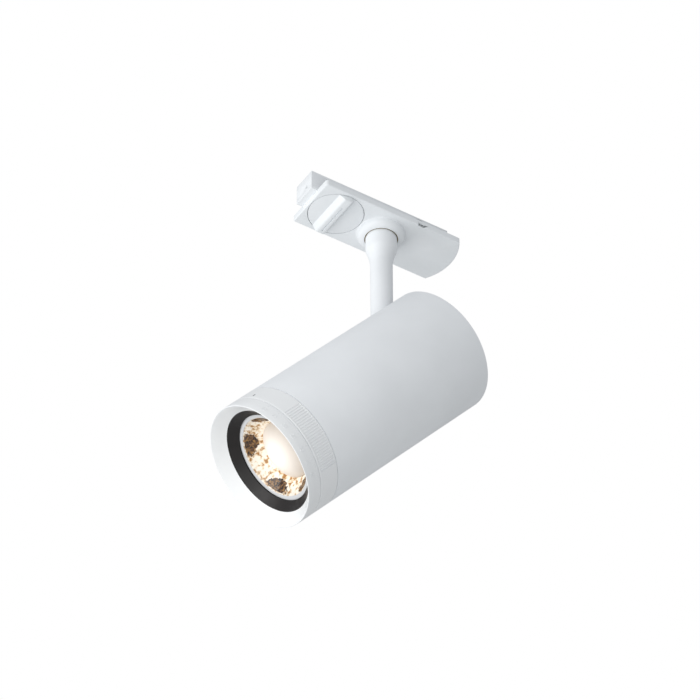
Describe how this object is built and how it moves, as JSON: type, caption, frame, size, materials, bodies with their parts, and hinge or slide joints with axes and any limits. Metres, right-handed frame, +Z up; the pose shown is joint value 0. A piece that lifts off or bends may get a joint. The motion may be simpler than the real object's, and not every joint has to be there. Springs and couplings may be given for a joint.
{
  "type": "track spotlight",
  "caption": "White cylindrical zoom spotlight on a panning stem and tilt joint, with a locking adapter that clips under a single-circuit lighting track.",
  "frame": {"origin": "pan axis at the bearing face that meets the track's underside", "axes": "+X along the track towards the rounded end, +Z up into the track, +Y across the track"},
  "size_m": [0.1458, 0.1008, 0.2235],
  "materials": {
    "white_plastic": "fine satin moulded plastic",
    "white_paint": "white powder coat on aluminium",
    "white_trim": "smooth matt white",
    "black_plastic": "satin black",
    "clear_plastic": "clear polished optic",
    "frosted": "frosted diffuser",
    "steel": "zinc plated",
    "brass": "bright",
    "bronze": "olive bronze bush",
    "bare_aluminium": "cast, bare",
    "nylon": "natural nylon",
    "board": "green circuit board",
    "phosphor": "yellow light-emitting disc",
    "component": "electronic components",
    "lead": "insulated lead"
  },
  "bodies": {
    "adapter": {"cover_plate": "white_plastic", "adapter_base": "white_plastic", "adapter_cover": "white_plastic", "cover_screws": "steel", "nose_screw": "steel", "earth_spring": "steel", "terminal_block": "nylon", "terminal_screws": "brass", "pan_bush": "bronze", "pan_friction_washer": "nylon"},
    "knob": {"lock_knob": "white_plastic", "rotor": "nylon", "locking_lug": "steel", "live_contact": "brass", "neutral_contact": "brass", "rotor_clip": "steel"},
    "stem": {"stem": "white_paint", "pan_wave_washer": "steel", "stop_washer": "steel", "pan_nut": "brass", "knuckle": "bare_aluminium", "stem_leads": "lead"},
    "head": {"tilt_bracket": "steel", "standoffs": "steel", "bracket_screws": "steel", "tilt_bolt": "steel", "tilt_washers": "nylon", "tilt_spring_washer": "steel", "tilt_nut": "steel", "housing": "white_paint", "clamp_screws": "steel", "rear_cap": "white_paint", "cap_posts": "steel", "cap_screws": "steel", "heat_sink": "bare_aluminium", "led_board": "bare_aluminium", "led_emitter": "phosphor", "led_holder": "white_trim", "holder_screws": "steel", "led_leads": "lead", "driver_tray": "white_plastic", "driver_board": "board", "driver_transformer": "component", "driver_capacitors": "component", "lens_barrel": "black_plastic", "front_ring": "white_paint", "baffle": "black_plastic"},
    "zoom_ring": {"zoom_ring": "white_paint"},
    "lens_carrier": {"lens_carrier": "black_plastic", "cam_pins": "steel", "lens": "clear_plastic", "diffuser": "frosted", "lens_retainer": "black_plastic"}
  },
  "joints": [
    {"name": "knob_turn", "type": "hinge", "parent": "adapter", "child": "knob", "pos_m": [-0.0299, 0, 0], "axis": [0, 0, 1], "range_deg": [0, 90]},
    {"name": "pan", "type": "hinge", "parent": "adapter", "child": "stem", "pos_m": [0, 0, 0], "axis": [0, 0, 1], "range_deg": [-165, 165]},
    {"name": "tilt", "type": "hinge", "parent": "stem", "child": "head", "pos_m": [0, 0, -0.1164], "axis": [0.3242, 0.946, 0], "range_deg": [-44.18, 45.82]},
    {"name": "zoom_turn", "type": "hinge", "parent": "head", "child": "zoom_ring", "pos_m": [0, 0, -0.1164], "axis": [-0.6593, 0.226, -0.7172], "range_deg": [-90, 0]},
    {"name": "lens_slide", "type": "slide", "parent": "head", "child": "lens_carrier", "axis": [-0.6593, 0.226, -0.7172], "range_m": [-0.007, 0]}
  ],
  "couplings": [
    {"joint": "lens_slide", "follows": "zoom_turn", "m_per_rad": 0.0044563}
  ]
}
